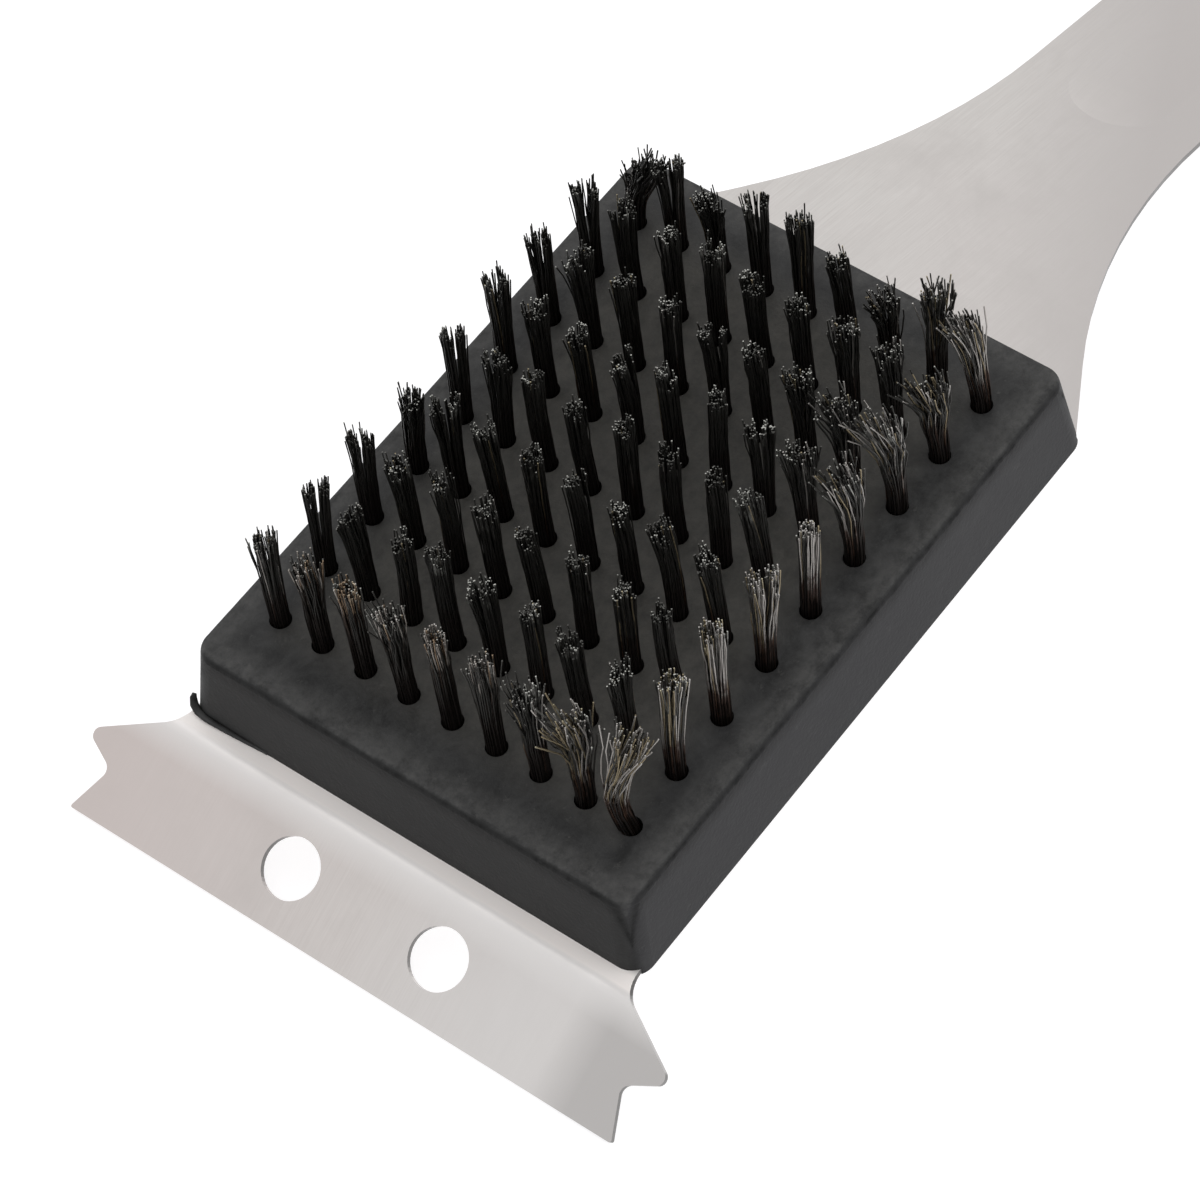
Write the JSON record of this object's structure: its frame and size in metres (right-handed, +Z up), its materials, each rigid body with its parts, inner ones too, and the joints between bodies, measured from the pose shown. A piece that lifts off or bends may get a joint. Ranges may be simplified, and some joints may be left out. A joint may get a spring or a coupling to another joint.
{
  "type": "grill cleaning brush",
  "caption": "Long-handled grill brush: bent steel blade with a notched scraper, a black block of wire tufts, a riveted two-scale grip and a swinging hanging ring.",
  "frame": {"origin": "on the table under the middle of the brush's box, as it lies bristles up on the scraper's lip and the grip's tail", "axes": "+Y along the brush from the scraper to the hanging ring, +X across the head, +Z up from the table; the head's face leans back 11 degrees from level"},
  "size_m": [0.0954, 0.4248, 0.0625],
  "materials": {
    "stainless_sheet": "fine brushed, satin",
    "block_plastic": "fine spark texture, matte",
    "grip_plastic": "fine spark texture, matte",
    "bristle_wire": "dark oiled wire with bright cut ends",
    "staple_wire": "drawn",
    "fastener_steel": "satin",
    "ring_steel": "polished wire"
  },
  "bodies": {
    "brush": {"blade": "stainless_sheet", "brush_block": "block_plastic", "block_screws": "fastener_steel", "grip_top": "grip_plastic", "grip_bottom": "grip_plastic", "grip_rivets": "fastener_steel", "tuft_row_1": "bristle_wire", "staple_row_1": "staple_wire", "tuft_row_2": "bristle_wire", "staple_row_2": "staple_wire", "tuft_row_3": "bristle_wire", "staple_row_3": "staple_wire", "tuft_row_4": "bristle_wire", "staple_row_4": "staple_wire", "tuft_row_5": "bristle_wire", "staple_row_5": "staple_wire", "tuft_row_6": "bristle_wire", "staple_row_6": "staple_wire", "tuft_row_7": "bristle_wire", "staple_row_7": "staple_wire", "tuft_row_8": "bristle_wire", "staple_row_8": "staple_wire", "tuft_row_9": "bristle_wire", "staple_row_9": "staple_wire"},
    "ring": {"hanging_ring": "ring_steel"}
  },
  "joints": [
    {"name": "ring_swing", "type": "hinge", "parent": "brush", "child": "ring", "pos_m": [0, 0.18612, 0.00511], "axis": [1, 0, 0], "range_deg": [-145, 130]}
  ]
}
